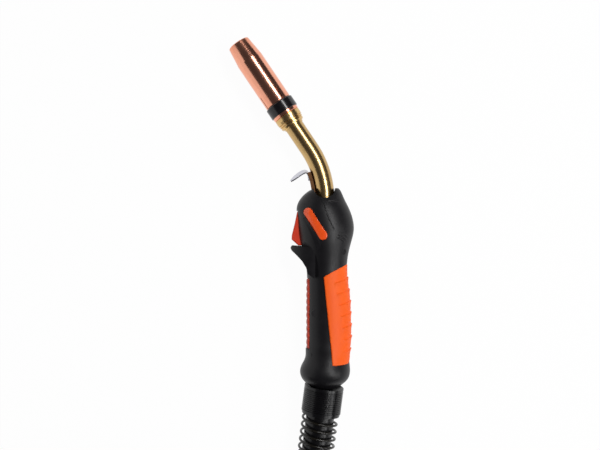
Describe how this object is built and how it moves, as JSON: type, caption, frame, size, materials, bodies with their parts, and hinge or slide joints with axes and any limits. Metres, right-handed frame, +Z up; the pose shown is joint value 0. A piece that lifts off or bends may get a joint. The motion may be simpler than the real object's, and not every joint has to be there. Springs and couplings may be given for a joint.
{
  "type": "mig welding torch",
  "caption": "MIG welding torch: handle with soft grips and a trigger, bent brass neck, copper gas nozzle, hanging hook, ball-jointed cable support, coiled hose and round machine plug.",
  "frame": {"origin": "centre of the torch's footprint, without its hose, on the bench that it lies on", "axes": "+Z up, off the bench; +Y along the handle towards the nozzle; the trigger is on the -X side and the torch lies on its right side, with its middle plane level"},
  "size_m": [0.3631, 0.8134, 0.0601],
  "materials": {
    "shell": "satin",
    "pad_orange": "satin",
    "pad_red": "satin",
    "badge": "gloss",
    "trigger": "gloss",
    "steel": "brushed",
    "spring_steel": "brushed",
    "copper": "polished",
    "seat_copper": "polished",
    "brass": "polished",
    "neck_brass": "polished",
    "bracket": "dark patina",
    "insulator": "gloss",
    "diffuser": "matte",
    "sleeving": "matte",
    "switch": "matte",
    "support": "gloss",
    "ball": "gloss",
    "black_spring": "gloss black",
    "hose": "gloss black",
    "plug_plastic": "satin",
    "seal": "satin",
    "conductor": "satin"
  },
  "bodies": {
    "cable": {"ball_joint": "ball", "cable_support": "support", "kink_spring": "black_spring", "hose_lead": "hose", "hose_coil": "hose", "hose_tail": "hose", "plug_spring": "black_spring", "plug_housing_upper": "plug_plastic", "plug_housing_lower": "plug_plastic", "plug_screws": "steel", "plug_body": "brass", "plug_face": "plug_plastic", "plug_spigot": "brass", "spigot_seal": "seal"},
    "torch": {"handle_left": "shell", "handle_right": "shell", "handle_screws": "steel", "back_grip": "pad_orange", "front_grip": "pad_red", "badge_left": "badge", "badge_right": "badge", "trigger_pin": "steel", "trigger_spring": "spring_steel", "switch_body": "switch", "swan_neck": "neck_brass", "neck_insulation": "sleeving", "current_tube": "copper", "wire_liner": "steel", "neck_clamp": "brass", "cable_union": "brass", "power_cable": "conductor", "neck_head": "brass", "nozzle_seat": "seat_copper", "insulator_ring": "insulator", "nozzle_clip": "spring_steel", "tip_holder": "brass", "gas_diffuser": "diffuser", "contact_tip": "copper", "hook_bracket": "bracket", "hanging_hook": "steel"},
    "trigger": {"trigger": "trigger"},
    "switch_button": {"switch_plunger": "switch"},
    "nozzle": {"gas_nozzle": "copper"},
    "plug_nut": {"plug_nut": "plug_plastic"},
    "contact_1": {"contact_pin_1": "brass"},
    "contact_2": {"contact_pin_2": "brass"}
  },
  "joints": [
    {"name": "handle_swing", "type": "hinge", "parent": "cable", "child": "torch", "pos_m": [0.03482, -0.09111, 0.025], "axis": [0, 0, 1], "range_deg": [-20, 3]},
    {"name": "trigger_press", "type": "hinge", "parent": "torch", "child": "trigger", "pos_m": [0.01142, 0.06389, 0.025], "axis": [0, 0, 1], "range_deg": [0, 4.5], "stiffness_Nm_per_rad": 0.6, "springref_deg": -5.73},
    {"name": "switch_press", "type": "slide", "parent": "torch", "child": "switch_button", "axis": [1, 0, 0], "range_m": [0, 0.0017]},
    {"name": "nozzle_pull", "type": "slide", "parent": "torch", "child": "nozzle", "axis": [-0.5592, 0.829, 0], "range_m": [0, 0.085]},
    {"name": "plug_nut_spin", "type": "hinge", "parent": "cable", "child": "plug_nut", "pos_m": [0.02855, -0.54278, 0.025], "axis": [-0.1392, -0.9903, 0], "continuous": true},
    {"name": "contact_press_1", "type": "slide", "parent": "cable", "child": "contact_1", "axis": [0.1392, 0.9903, 0], "range_m": [0, 0.003], "stiffness_N_per_m": 600, "springref_m": -0.001},
    {"name": "contact_press_2", "type": "slide", "parent": "cable", "child": "contact_2", "axis": [0.1392, 0.9903, 0], "range_m": [0, 0.003], "stiffness_N_per_m": 600, "springref_m": -0.001}
  ],
  "couplings": [
    {"joint": "switch_press", "follows": "trigger_press", "m_per_rad": 0.02}
  ]
}
